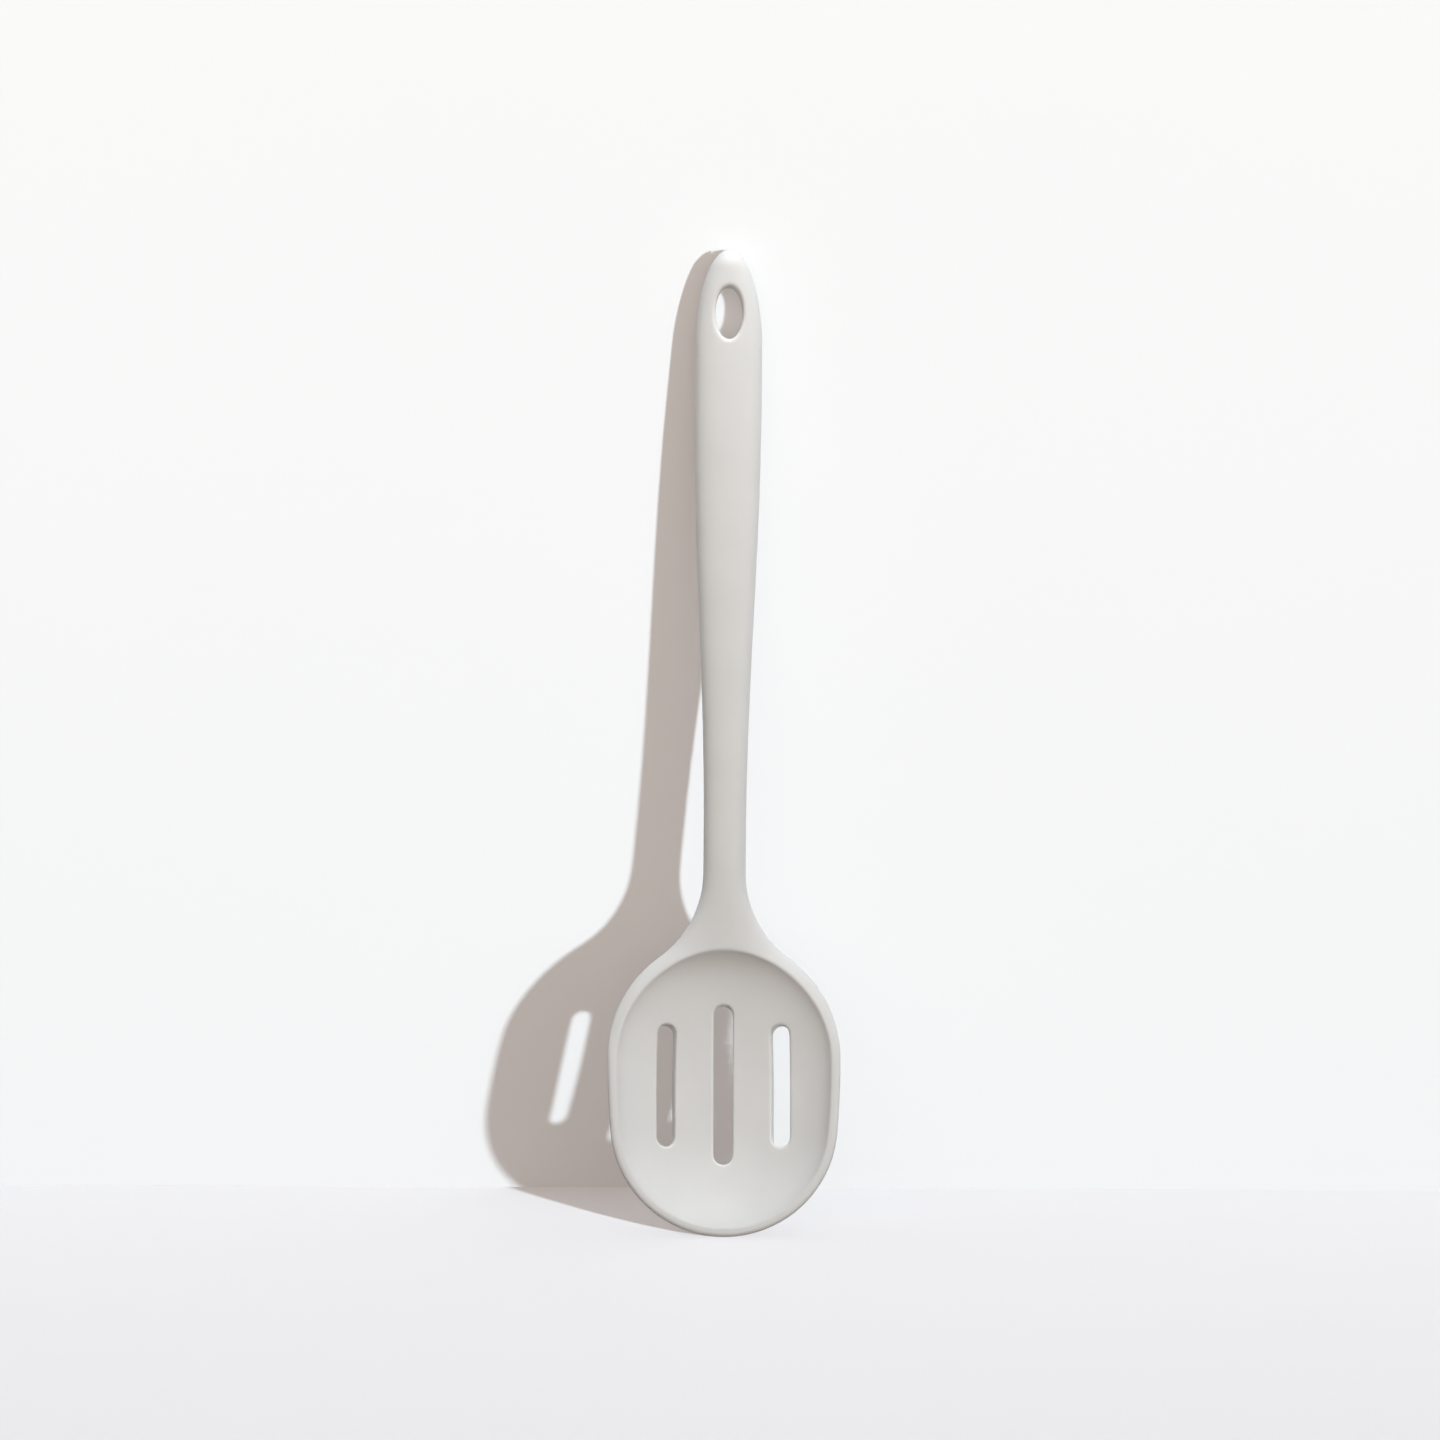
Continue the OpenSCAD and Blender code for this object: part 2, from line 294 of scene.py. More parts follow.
# %% [markdown]
# The skin starts as a flat pattern, one sheet for the front and one for the back, like a dressmaker's.
# Points lie close together where the surface turns quickly: along the outline, the rim's inner edge and
# the cuts, and further apart on the calm ground between. A triangulation that respects the loops then joins
# them. This gives even shading all over, where a remesh would blur the rim and the slots.

# %% Points of the flat pattern
OUTLINE_STEP = 1.15
OUTLINE_RINGS = (0.04, 0.16, 0.36, 0.66, 1.05, 1.55, 2.2, 3.1)
SHARE_RINGS = (1.028, 1.016, 1.007, 1.0, 0.995, 0.988, 0.978, 0.964, 0.945, 0.918, 0.885)
SHARE_STEP = 0.9
SLOT_RINGS = (0.08, 0.22, 0.42, 0.7, 1.15)
EYE_RINGS = (0.1, 0.3, 0.6, 1.0, 1.5, 2.1, 2.8)
GROUND_STEP = 1.7
CUT_MARGIN = 0.04
SLOT_ROOM = 0.06
EYE_ROOM = 0.08
SHARE_MARGIN = 0.3
SHARE_ROOM = 0.2
OUTLINE_MARGIN = 0.8
CLOSE_GAP = 0.5
CLOSE_ROOM = 0.12
WIDE_ROOM = 0.32
GROUND_MARGIN = 2.0
GROUND_ROOM = 0.62 * GROUND_STEP

outline_loop = resample(full_outline, OUTLINE_STEP)
along_outline = np.roll(outline_loop, -1, axis=0) - np.roll(outline_loop, 1, axis=0)
along_outline /= np.linalg.norm(along_outline, axis=1)[:, None]
inward = np.stack([-along_outline[:, 1], along_outline[:, 0]], axis=1)


def nearest(points, to_points):
    tree = KDTree(len(to_points))
    for index, (x, y) in enumerate(to_points):
        tree.insert((x, y, 0.0), index)
    tree.balance()
    found = [tree.find((x, y, 0.0)) for x, y in points]
    return np.array([hit[2] for hit in found]), np.array([hit[1] for hit in found])


def inside_tool(points, margin):
    return (np.abs(points[:, 0]) < half_width(points[:, 1])) & (nearest(points, fine_outline)[0] > margin)


def inside_cut(points, loops):
    hit = np.zeros(len(points), dtype=bool)
    for loop in loops:
        low, high = loop.min(axis=0), loop.max(axis=0)
        boxed = np.all((points > low) & (points < high), axis=1)
        for index in np.flatnonzero(boxed):
            x, y = points[index]
            following = np.roll(loop, -1, axis=0)
            spans = (loop[:, 1] > y) != (following[:, 1] > y)
            rise = np.where(spans, following[:, 1] - loop[:, 1], 1.0)
            crossing = loop[:, 0] + (y - loop[:, 1]) / rise * (following[:, 0] - loop[:, 0])
            hit[index] |= np.count_nonzero(spans & (x < crossing)) % 2 == 1
    return hit


def ground_points():
    columns = np.arange(-BOWL_HALF, BOWL_HALF, GROUND_STEP)
    rows = np.arange(0.0, TOOL_LENGTH, GROUND_STEP * math.sqrt(3) / 2)
    across, along = np.meshgrid(columns, rows)
    across = across + (np.arange(len(rows)) % 2)[:, None] * GROUND_STEP / 2
    return np.stack([across.ravel(), along.ravel()], axis=1)


def sheet_points(is_back):
    loops = cut_loops(is_back, 0.0)
    kept = np.vstack([outline_loop] + loops)
    families = []
    for grow in SLOT_RINGS:
        families.append((np.vstack(cut_loops(is_back, grow)[:SLOT_COUNT]), SLOT_ROOM, CUT_MARGIN))
    for grow in EYE_RINGS:
        families.append((eye_loop(grow), EYE_ROOM, CUT_MARGIN))
    if not is_back:
        for share in SHARE_RINGS:
            ring = resample((rim_inner - (0.0, DEEPEST)) * share + (0.0, DEEPEST), SHARE_STEP)
            families.append((ring, SHARE_ROOM, SHARE_MARGIN))
    for gap in OUTLINE_RINGS:
        room = CLOSE_ROOM if gap < CLOSE_GAP else WIDE_ROOM
        families.append((outline_loop + gap * inward, room, gap * OUTLINE_MARGIN))
    families.append((ground_points(), GROUND_ROOM, GROUND_MARGIN))
    for points, room, margin in families:
        points = points[inside_tool(points, margin)]
        points = points[~inside_cut(points, loops)]
        apart = nearest(points, kept)[0]
        kept = np.vstack([kept, points[apart > room]])
    return kept, loops


front_points, front_loops = sheet_points(False)
back_points, back_loops = sheet_points(True)
print("pattern points: front", len(front_points), "back", len(back_points))

# %% [markdown]
# Blender's constrained triangulation takes the points and the loops that no triangle may cross,
# and the triangles inside a cut are then left out. The two sheets share the outline's points, and a strip
# of faces joins the front and back loop of each cut, so that the skin closes into one solid-looking moulding.

# %% Triangulate and join the sheets
INSIDE_OUTLINE = 1
MERGE_LIMIT = 1e-5


def loop_edges(first, count):
    return [(first + i, first + (i + 1) % count) for i in range(count)]


def triangulate(points, loops):
    edges = loop_edges(0, len(outline_loop))
    first = len(outline_loop)
    for loop in loops:
        edges += loop_edges(first, len(loop))
        first += len(loop)
    coords = [Vector(point) for point in points]
    result = delaunay_2d_cdt(coords, edges, [], INSIDE_OUTLINE, MERGE_LIMIT)
    if len(result[0]) != len(points):
        raise ValueError("the pattern's points were merged or split")
    order = [sources[0] for sources in result[3]]
    faces = [tuple(order[corner] for corner in face) for face in result[2]]
    middles = np.array([points[list(face)].mean(axis=0) for face in faces])
    in_hole = inside_cut(middles, loops)
    return [face for face, hole in zip(faces, in_hole) if not hole]


front_faces = triangulate(front_points, front_loops)
back_faces = triangulate(back_points, back_loops)
shared = len(outline_loop)
back_start = len(front_points) - shared


def back_index(corner):
    return corner if corner < shared else corner + back_start


wall_faces = []
first = shared
for loop in front_loops:
    count = len(loop)
    for i in range(count):
        j = (i + 1) % count
        wall_faces.append((first + i, first + j, back_index(first + j), back_index(first + i)))
    first += count

pattern_points = np.vstack([front_points, back_points[shared:]])
pattern_faces = front_faces + [tuple(back_index(c) for c in face[::-1]) for face in back_faces] + wall_faces
pattern = bpy.data.meshes.new("skimmer_pattern")
pattern.from_pydata([(x, 0.0, y) for x, y in pattern_points], [], pattern_faces)
print("faces: front", len(front_faces), "back", len(back_faces), "walls", len(wall_faces))

# %% [markdown]
# A flat pattern needs to know where each point belongs before it can be lifted. Named attributes carry
# that: the half width at its height, its distance from the outline, its share of the hollow, its distance from
# the nearest cut with that cut's edge rounding, and which sheet it is on. The finish reads some of them later.

# %% Attributes of the pattern
LEAST_HALF = 0.01


def nearest_cut(is_back):
    cuts = [resample(loop, FINE_STEP) for loop in cut_loops(is_back, 0.0)]
    rounds = [SLOT_ROUND] * SLOT_COUNT + [EYE_ROUND]
    round_of = np.concatenate([np.full(len(cut), size) for cut, size in zip(cuts, rounds)])
    gap, hit = nearest(pattern_points, np.vstack(cuts))
    return gap, round_of[hit]


on_back = np.arange(len(pattern_points)) >= len(front_points)
front_gap, front_round = nearest_cut(False)
back_gap, back_round = nearest_cut(True)
halves = half_width(pattern_points[:, 1])
halves[:shared] = np.abs(pattern_points[:shared, 0])
edge_gaps = nearest(pattern_points, fine_outline)[0]
edge_gaps[:shared] = 0.0

skin_facts = {
    "half_width": np.maximum(halves, LEAST_HALF),
    "edge_gap": edge_gaps,
    "hollow_share": hollow_share(pattern_points),
    "cut_gap": np.where(on_back, back_gap, front_gap),
    "cut_round": np.where(on_back, back_round, front_round),
    "back_sheet": on_back.astype(float),
}
for name, values in skin_facts.items():
    attribute = pattern.attributes.new(name, "FLOAT", "POINT")
    attribute.data.foreach_set("value", values.astype(np.float32))
    print(name, round(float(values.min()), 3), "to", round(float(values.max()), 3))

# %% [markdown]
# Geometry Nodes lift the pattern to shape, because the whole form follows one rule along the tool.
# Small helpers keep the tree readable: one adds a sum, one an easy step between two heights, one a soft
# choice of the larger of two values. Each returns the socket that carries the result.

# %% Helpers for the lifting tree
lift = bpy.data.node_groups.new("Lift the skimmer", "GeometryNodeTree")


def feed(socket, value):
    if isinstance(value, bpy.types.NodeSocket):
        lift.links.new(value, socket)
    else:
        socket.default_value = value


def calc(operation, *values):
    node = lift.nodes.new("ShaderNodeMath")
    node.operation = operation
    for socket, value in zip(node.inputs, values):
        feed(socket, value)
    return node.outputs[0]


def easy(value, start, end, low, high):
    node = lift.nodes.new("ShaderNodeMapRange")
    node.interpolation_type = "SMOOTHSTEP"
    for socket, part in zip(node.inputs, (value, start, end, low, high)):
        feed(socket, part)
    return node.outputs[0]


def blend(low, high, share):
    return calc("MULTIPLY_ADD", calc("SUBTRACT", high, low), share, low)


def soft_larger(one, other, softness):
    apart = calc("SUBTRACT", one, other)
    spread = calc("SQRT", calc("MULTIPLY_ADD", apart, apart, calc("MULTIPLY", softness, softness)))
    return calc("MULTIPLY", calc("ADD", calc("ADD", one, other), spread), 0.5)


def fact(name):
    node = lift.nodes.new("GeometryNodeInputNamedAttribute")
    node.data_type = "FLOAT"
    node.inputs["Name"].default_value = name
    return node.outputs[0]


def full_round(ratio, across, down):
    clipped = calc("MINIMUM", ratio, 1.0)
    rest = calc("MAXIMUM", calc("SUBTRACT", 1.0, calc("POWER", clipped, across)), 0.0)
    return calc("POWER", rest, calc("DIVIDE", 1.0, down))


def edge_drop(gap, radius):
    left = calc("SUBTRACT", 1.0, calc("MINIMUM", calc("DIVIDE", gap, radius), 1.0))
    risen = calc("SQRT", calc("SUBTRACT", 1.0, calc("MULTIPLY", left, left)))
    return calc("MULTIPLY", radius, calc("SUBTRACT", 1.0, risen))


print("helpers ready for", lift.name)

# %% [markdown]
# The tree's inputs are the sizes that a maker would change. They are named sockets, so the same tree
# could lift a deeper bowl or a thicker grip without any change inside it.

# %% Inputs of the lifting tree
INNER_EDGE_SOFTNESS = 0.45
lift_sizes = {
    "Hollow depth": HOLLOW_DEPTH,
    "Floor thickness": FLOOR_THICKNESS,
    "Rim round": RIM_ROUND,
    "Inner edge softness": INNER_EDGE_SOFTNESS,
    "Head lean": HEAD_LEAN,
    "Bend height": BEND,
    "Bend softness": BEND_SOFTNESS,
    "Neck thickness": NECK_THICKNESS,
    "Grip thickness": GRIP_THICKNESS,
}
lift.interface.new_socket("Geometry", in_out="INPUT", socket_type="NodeSocketGeometry")
for size_name, size in lift_sizes.items():
    socket = lift.interface.new_socket(size_name, in_out="INPUT", socket_type="NodeSocketFloat")
    socket.default_value = size
lift.interface.new_socket("Finish", in_out="INPUT", socket_type="NodeSocketMaterial")
lift.interface.new_socket("Geometry", in_out="OUTPUT", socket_type="NodeSocketGeometry")
group_in = lift.nodes.new("NodeGroupInput")
group_out = lift.nodes.new("NodeGroupOutput")
print("inputs:", [item.name for item in lift.interface.items_tree if item.in_out == "INPUT"])

# %% [markdown]
# Side view first. Four lines run along the tool: the plane of the rim, the front, the back and the outer
# edge. The handle's thickness swells from neck to grip and rounds off at the end, and the front line turns
# softly from the neck into the leaning rim.

# %% Lines of the side view
CIRCLE_CURVE = 2.0
RIM_CURVE = 10.0
GRIP_CURVE = 2.3
UNDERSIDE_ACROSS = 2.2
UNDERSIDE_DOWN = 1.8
sizes = group_in.outputs
place = lift.nodes.new("ShaderNodeSeparateXYZ")
position = lift.nodes.new("GeometryNodeInputPosition")
lift.links.new(position.outputs[0], place.inputs[0])
across = calc("ABSOLUTE", place.outputs["X"])
height = place.outputs["Z"]

lean_sine = calc("SINE", sizes["Head lean"])
below_bend = calc("MAXIMUM", calc("SUBTRACT", sizes["Bend height"], height), 0.0)
level = calc("MULTIPLY_ADD", below_bend, calc("SUBTRACT", 1.0, calc("COSINE", sizes["Head lean"])), height)
rim_plane = calc("MULTIPLY", calc("SUBTRACT", height, sizes["Bend height"]), lean_sine)

neck_front = calc("MULTIPLY", sizes["Neck thickness"], 0.5)
grip_front = calc("MULTIPLY", sizes["Grip thickness"], 0.5)
handle_body = easy(height, SWELL_START, GRIP_START, neck_front, grip_front)
past_end = calc("SUBTRACT", height, calc("SUBTRACT", TOOL_LENGTH, grip_front))
end_ratio = calc("MAXIMUM", calc("DIVIDE", past_end, grip_front), 0.0)
handle_front = calc("MULTIPLY", handle_body, full_round(end_ratio, CIRCLE_CURVE, CIRCLE_CURVE))

edge_share = easy(height, WIDEST, ARCH_TOP + RIM_WIDTH, 0.0, 1.0)
back_share = easy(height, WIDEST, THROAT, 0.0, 1.0)
rim_front = calc("MULTIPLY", rim_plane, -1.0)
front_line = calc("MULTIPLY", soft_larger(handle_front, rim_front, sizes["Bend softness"]), -1.0)
under_depth = calc("ADD", sizes["Hollow depth"], sizes["Floor thickness"])
near_lip = calc("MAXIMUM", calc("DIVIDE", calc("SUBTRACT", DEEPEST, height), DEEPEST), 0.0)
lip_round = full_round(near_lip, UNDERSIDE_ACROSS, UNDERSIDE_DOWN)
low_height = calc("MINIMUM", height, DEEPEST)
low_plane = calc("MULTIPLY", calc("SUBTRACT", low_height, sizes["Bend height"]), lean_sine)
belly = calc("ADD", low_plane, blend(sizes["Rim round"], under_depth, lip_round))
past_deepest = calc("DIVIDE", calc("SUBTRACT", height, low_height), THROAT - DEEPEST)
back_rise = calc("SINE", calc("MULTIPLY", calc("MINIMUM", past_deepest, 1.0), math.pi / 2))
back_line = blend(belly, handle_front, back_rise)
middle_line = calc("MULTIPLY", calc("ADD", front_line, back_line), 0.5)
edge_line = blend(calc("ADD", front_line, sizes["Rim round"]), middle_line, edge_share)
print("side view made with", len(lift.nodes), "nodes")

# %% [markdown]
# Sections next. Across the handle the skin is a soft oval; across the bowl the front is a flat rim with
# a rounded edge, and the back is the bowl's belly. The hollow then sinks into the front wherever it lies
# deeper than the rim, and the edges of the slots and the eye are rounded by their distance from the cut.

# %% Front, back and cut edges
RIM_BLEND = 9.0
OUTSIDE_FALL = 90.0
side_ratio = calc("DIVIDE", across, fact("half_width"))
front_across = blend(RIM_CURVE, GRIP_CURVE, edge_share)
front_down = blend(CIRCLE_CURVE, GRIP_CURVE, edge_share)
front_section = full_round(side_ratio, front_across, front_down)
front_oval = blend(edge_line, front_line, front_section)
front_rim = calc("ADD", front_line, edge_drop(fact("edge_gap"), sizes["Rim round"]))
front_shell = blend(front_rim, front_oval, easy(height, WIDEST - RIM_BLEND, WIDEST + RIM_BLEND, 0.0, 1.0))

share = fact("hollow_share")
hollow = calc("MULTIPLY", sizes["Hollow depth"], full_round(share, HOLLOW_ACROSS, HOLLOW_DOWN))
outside = calc("MULTIPLY", calc("MAXIMUM", calc("SUBTRACT", share, 1.0), 0.0), OUTSIDE_FALL)
hollow_face = calc("ADD", rim_plane, calc("SUBTRACT", hollow, outside))
front_face = soft_larger(front_shell, hollow_face, sizes["Inner edge softness"])

back_across = blend(UNDERSIDE_ACROSS, GRIP_CURVE, back_share)
back_down = blend(UNDERSIDE_DOWN, GRIP_CURVE, back_share)
back_face = blend(edge_line, back_line, full_round(side_ratio, back_across, back_down))

cut_drop = edge_drop(fact("cut_gap"), fact("cut_round"))
front_done = calc("ADD", front_face, cut_drop)
back_done = calc("SUBTRACT", back_face, cut_drop)
lifted = blend(front_done, back_done, fact("back_sheet"))
print("tree has", len(lift.nodes), "nodes")

# %% [markdown]
# The last nodes put each point in place in metres, with the middle of the eye as the origin, and give the
# skin its finish. Shading is smooth all over, because moulded silicone has no sharp edge.

# %% Ends of the lifting tree
put_together = lift.nodes.new("ShaderNodeCombineXYZ")
lift.links.new(calc("MULTIPLY", place.outputs["X"], MM), put_together.inputs["X"])
lift.links.new(calc("MULTIPLY", lifted, MM), put_together.inputs["Y"])
lift.links.new(calc("MULTIPLY", calc("SUBTRACT", level, EYE_HEIGHT), MM), put_together.inputs["Z"])
move = lift.nodes.new("GeometryNodeSetPosition")
realize = lift.nodes.new("GeometryNodeRealizeInstances")
finish_skin = lift.nodes.new("GeometryNodeSetMaterial")
lift.links.new(sizes["Geometry"], move.inputs["Geometry"])
lift.links.new(put_together.outputs[0], move.inputs["Position"])
lift.links.new(move.outputs[0], realize.inputs[0])
lift.links.new(realize.outputs[0], finish_skin.inputs["Geometry"])
lift.links.new(sizes["Finish"], finish_skin.inputs["Material"])
lift.links.new(finish_skin.outputs[0], group_out.inputs[0])
print("links:", len(lift.links))

# %% [markdown]
# The finish is matte, warm light-grey silicone. Up close it isn't one flat colour: the pigment clouds a
# little and the mould leaves a very fine grain. The colour is also made paler along the outline and round the
# cuts: partly wear where hands and pots rub, partly a painted highlight of rounded edges catching the light.
# Clouds and grain come from noise on Object coordinates, and the paler edges from the pattern's attributes.

# %% Silicone finish
SILICONE = (0.690, 0.670, 0.650)
NOISE_LOW = 0.3
NOISE_HIGH = 0.7
CLOUD_SCALE = 55.0
CLOUD_DETAIL = 4.0
CLOUD_ROUGHNESS = 0.55
CLOUD_DARK = 0.975
CLOUD_LIGHT = 1.02
# Paler colour along the outline and round the cuts: partly rubbed wear, partly a painted highlight of rounded
# edges.
RIM_WEAR_AND_HIGHLIGHT = 1.04
RIM_HIGHLIGHT_FROM = 0.2
RIM_HIGHLIGHT_TO = 1.6
CUT_WEAR_AND_HIGHLIGHT = 1.12
CUT_FROM = 0.1
CUT_TO = 0.8


def new_finish(name):
    material = bpy.data.materials.new(name)
    material.use_nodes = True
    material.node_tree.nodes.clear()
    shader = material.node_tree.nodes.new("ShaderNodeBsdfPrincipled")
    output = material.node_tree.nodes.new("ShaderNodeOutputMaterial")
    material.node_tree.links.new(shader.outputs[0], output.inputs["Surface"])
    return material, material.node_tree, shader


def noise(tree, scale, detail, roughness):
    coordinates = tree.nodes.new("ShaderNodeTexCoord")
    texture = tree.nodes.new("ShaderNodeTexNoise")
    texture.inputs["Scale"].default_value = scale
    texture.inputs["Detail"].default_value = detail
    texture.inputs["Roughness"].default_value = roughness
    tree.links.new(coordinates.outputs["Object"], texture.inputs["Vector"])
    return texture.outputs["Fac"]


def spread(tree, value, start, end, low, high):
    node = tree.nodes.new("ShaderNodeMapRange")
    node.inputs["From Min"].default_value = start
    node.inputs["From Max"].default_value = end
    node.inputs["To Min"].default_value = low
    node.inputs["To Max"].default_value = high
    tree.links.new(value, node.inputs["Value"])
    return node.outputs[0]


def times(tree, one, other):
    node = tree.nodes.new("ShaderNodeMath")
    node.operation = "MULTIPLY"
    tree.links.new(one, node.inputs[0])
    tree.links.new(other, node.inputs[1])
    return node.outputs[0]


def skin_fact(tree, name):
    node = tree.nodes.new("ShaderNodeAttribute")
    node.attribute_name = name
    return node.outputs["Fac"]


def tint(tree, colour, strength):
    node = tree.nodes.new("ShaderNodeVectorMath")
    node.operation = "SCALE"
    node.inputs[0].default_value = colour
    tree.links.new(strength, node.inputs["Scale"])
    return node.outputs[0]


silicone, silicone_tree, silicone_shader = new_finish("matte_silicone")
pigment = noise(silicone_tree, CLOUD_SCALE, CLOUD_DETAIL, CLOUD_ROUGHNESS)
cloud = spread(silicone_tree, pigment, NOISE_LOW, NOISE_HIGH, CLOUD_DARK, CLOUD_LIGHT)
edge_gap = skin_fact(silicone_tree, "edge_gap")
# Painted highlight plus wear: the colour is lifted near the outline and, more strongly, near the cuts.
rim_wear_and_highlight = spread(silicone_tree, edge_gap, RIM_HIGHLIGHT_FROM, RIM_HIGHLIGHT_TO, RIM_WEAR_AND_HIGHLIGHT, 1.0)
cut_wear_and_highlight = spread(silicone_tree, skin_fact(silicone_tree, "cut_gap"), CUT_FROM, CUT_TO, CUT_WEAR_AND_HIGHLIGHT, 1.0)
shade = times(silicone_tree, times(silicone_tree, cloud, rim_wear_and_highlight), cut_wear_and_highlight)
silicone_tree.links.new(tint(silicone_tree, SILICONE, shade), silicone_shader.inputs["Base Color"])
print("silicone colour", SILICONE)

# %% [markdown]
# Roughness and bump make it read as silicone and not as paint: a broad soft gloss, broken by the mould's
# grain. The grain is about four tenths of a millimetre, so it shows only in a close view.

# %% Silicone gloss and grain
GRAIN_SCALE = 2600.0
GRAIN_DETAIL = 2.0
GRAIN_ROUGHNESS = 0.5
GRAIN_DEPTH = 0.000012
GRAIN_STRENGTH = 0.35
GLOSS_SCALE = 140.0
GLOSS_DETAIL = 3.0
GLOSS_ROUGHNESS = 0.5
ROUGHNESS_LOW = 0.5
ROUGHNESS_HIGH = 0.6
SPECULAR = 0.42
SHEEN = 0.08
SHEEN_ROUGHNESS = 0.5
patches = noise(silicone_tree, GLOSS_SCALE, GLOSS_DETAIL, GLOSS_ROUGHNESS)
gloss = spread(silicone_tree, patches, NOISE_LOW, NOISE_HIGH, ROUGHNESS_LOW, ROUGHNESS_HIGH)
silicone_tree.links.new(gloss, silicone_shader.inputs["Roughness"])
silicone_shader.inputs["Specular IOR Level"].default_value = SPECULAR
silicone_shader.inputs["Sheen Weight"].default_value = SHEEN
silicone_shader.inputs["Sheen Roughness"].default_value = SHEEN_ROUGHNESS
grain = silicone_tree.nodes.new("ShaderNodeBump")
grain.inputs["Strength"].default_value = GRAIN_STRENGTH
grain.inputs["Distance"].default_value = GRAIN_DEPTH
mould_grain = noise(silicone_tree, GRAIN_SCALE, GRAIN_DETAIL, GRAIN_ROUGHNESS)
silicone_tree.links.new(mould_grain, grain.inputs["Height"])
silicone_tree.links.new(grain.outputs[0], silicone_shader.inputs["Normal"])
print("grain about", round(1 / GRAIN_SCALE / MM, 2), "mm")

# %% [markdown]
# Now the pattern is lifted. The modifier's inputs are set by identifier before the object is first
# evaluated, the evaluated result becomes a plain mesh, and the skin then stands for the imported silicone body.

# %% Lift the skin
maker = bpy.data.objects.new("skimmer_pattern", pattern)
bpy.context.scene.collection.objects.link(maker)
modifier = maker.modifiers.new("Lift", "NODES")
modifier.node_group = lift
for item in lift.interface.items_tree:
    if item.in_out == "INPUT" and item.name in lift_sizes:
        modifier[item.identifier] = lift_sizes[item.name]
    if item.in_out == "INPUT" and item.name == "Finish":
        modifier[item.identifier] = silicone
depsgraph = bpy.context.evaluated_depsgraph_get()
skin_mesh = bpy.data.meshes.new_from_object(maker.evaluated_get(depsgraph))
bpy.data.objects.remove(maker)

tidy = bmesh.new()
tidy.from_mesh(skin_mesh)
bmesh.ops.recalc_face_normals(tidy, faces=tidy.faces)
open_edges = sum(1 for edge in tidy.edges if len(edge.link_faces) != 2)
skin_volume = tidy.calc_volume() / MM ** 3
tidy.to_mesh(skin_mesh)
tidy.free()
skin_mesh.shade_smooth()
skin = bpy.data.objects.new("silicone_skin", skin_mesh)
bpy.context.scene.collection.objects.link(skin)
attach(skin, "root")
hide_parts("silicone_body")
print("skin:", len(skin_mesh.polygons), "faces,", open_edges, "open edges,", round(skin_volume), "cubic mm")

# %% [markdown]
# The core is sealed inside the silicone, so it never shows, but it keeps a finish of its own for anyone
# who cuts the part open: dark filled nylon with a short, faintly streaked grain.

# %% Core finish
NYLON = (0.030, 0.030, 0.033)
STREAK_SCALE = 420.0
STREAK_DETAIL = 5.0
STREAK_ROUGHNESS = 0.6
STREAK_DARK = 0.8
STREAK_LIGHT = 1.25
FILLER_SCALE = 900.0
FILLER_DETAIL = 3.0
FILLER_ROUGHNESS = 0.5
NYLON_SMOOTH = 0.45
NYLON_ROUGH = 0.62
nylon, nylon_tree, nylon_shader = new_finish("filled_nylon")
flow = noise(nylon_tree, STREAK_SCALE, STREAK_DETAIL, STREAK_ROUGHNESS)
streak = spread(nylon_tree, flow, NOISE_LOW, NOISE_HIGH, STREAK_DARK, STREAK_LIGHT)
nylon_tree.links.new(tint(nylon_tree, NYLON, streak), nylon_shader.inputs["Base Color"])
filler = noise(nylon_tree, FILLER_SCALE, FILLER_DETAIL, FILLER_ROUGHNESS)
nylon_gloss = spread(nylon_tree, filler, NOISE_LOW, NOISE_HIGH, NYLON_SMOOTH, NYLON_ROUGH)
nylon_tree.links.new(nylon_gloss, nylon_shader.inputs["Roughness"])
core = frame["nodes"]["stiffening_core"]
core.data.materials.clear()
core.data.materials.append(nylon)
print("core finish on", core.name)

# %% [markdown]
# The wall and the floor are plain pale sheets that carry the tool's shadow. Part of what the eye sees of them
# is a warm glow, as a lit studio has, which sheds no light on the tool itself. Their backs let the view
# through, so that the tool can also be seen from behind.

# %% Finish of the wall and floor
WARM_WHITE = (1.0, 0.88, 0.82, 1.0)
WALL_COLOUR = (0.45, 0.45, 0.45)
WALL_GLOW = 0.28
WALL_BOUNCE = 1.0
FLOOR_COLOUR = (0.45, 0.448, 0.462)
FLOOR_GLOW = 0.335
FLOOR_BOUNCE = 0.15
MOTTLE_SCALE = 6.0
MOTTLE_DETAIL = 2.0
MOTTLE_ROUGHNESS = 0.5
MOTTLE_DARK = 0.997
MOTTLE_LIGHT = 1.003
SHEET_ROUGHNESS = 0.85
SHEET_SPECULAR = 0.1


def add_up(tree, *values):
    total = values[0]
    for value in values[1:]:
        node = tree.nodes.new("ShaderNodeMath")
        tree.links.new(total, node.inputs[0])
        tree.links.new(value, node.inputs[1])
        total = node.outputs[0]
    return total


def looked_at(tree):
    path = tree.nodes.new("ShaderNodeLightPath").outputs
    seen = add_up(tree, path["Is Camera Ray"], path["Is Glossy Ray"], path["Is Transmission Ray"])
    return spread(tree, seen, 0.0, 1.0, 0.0, 1.0)


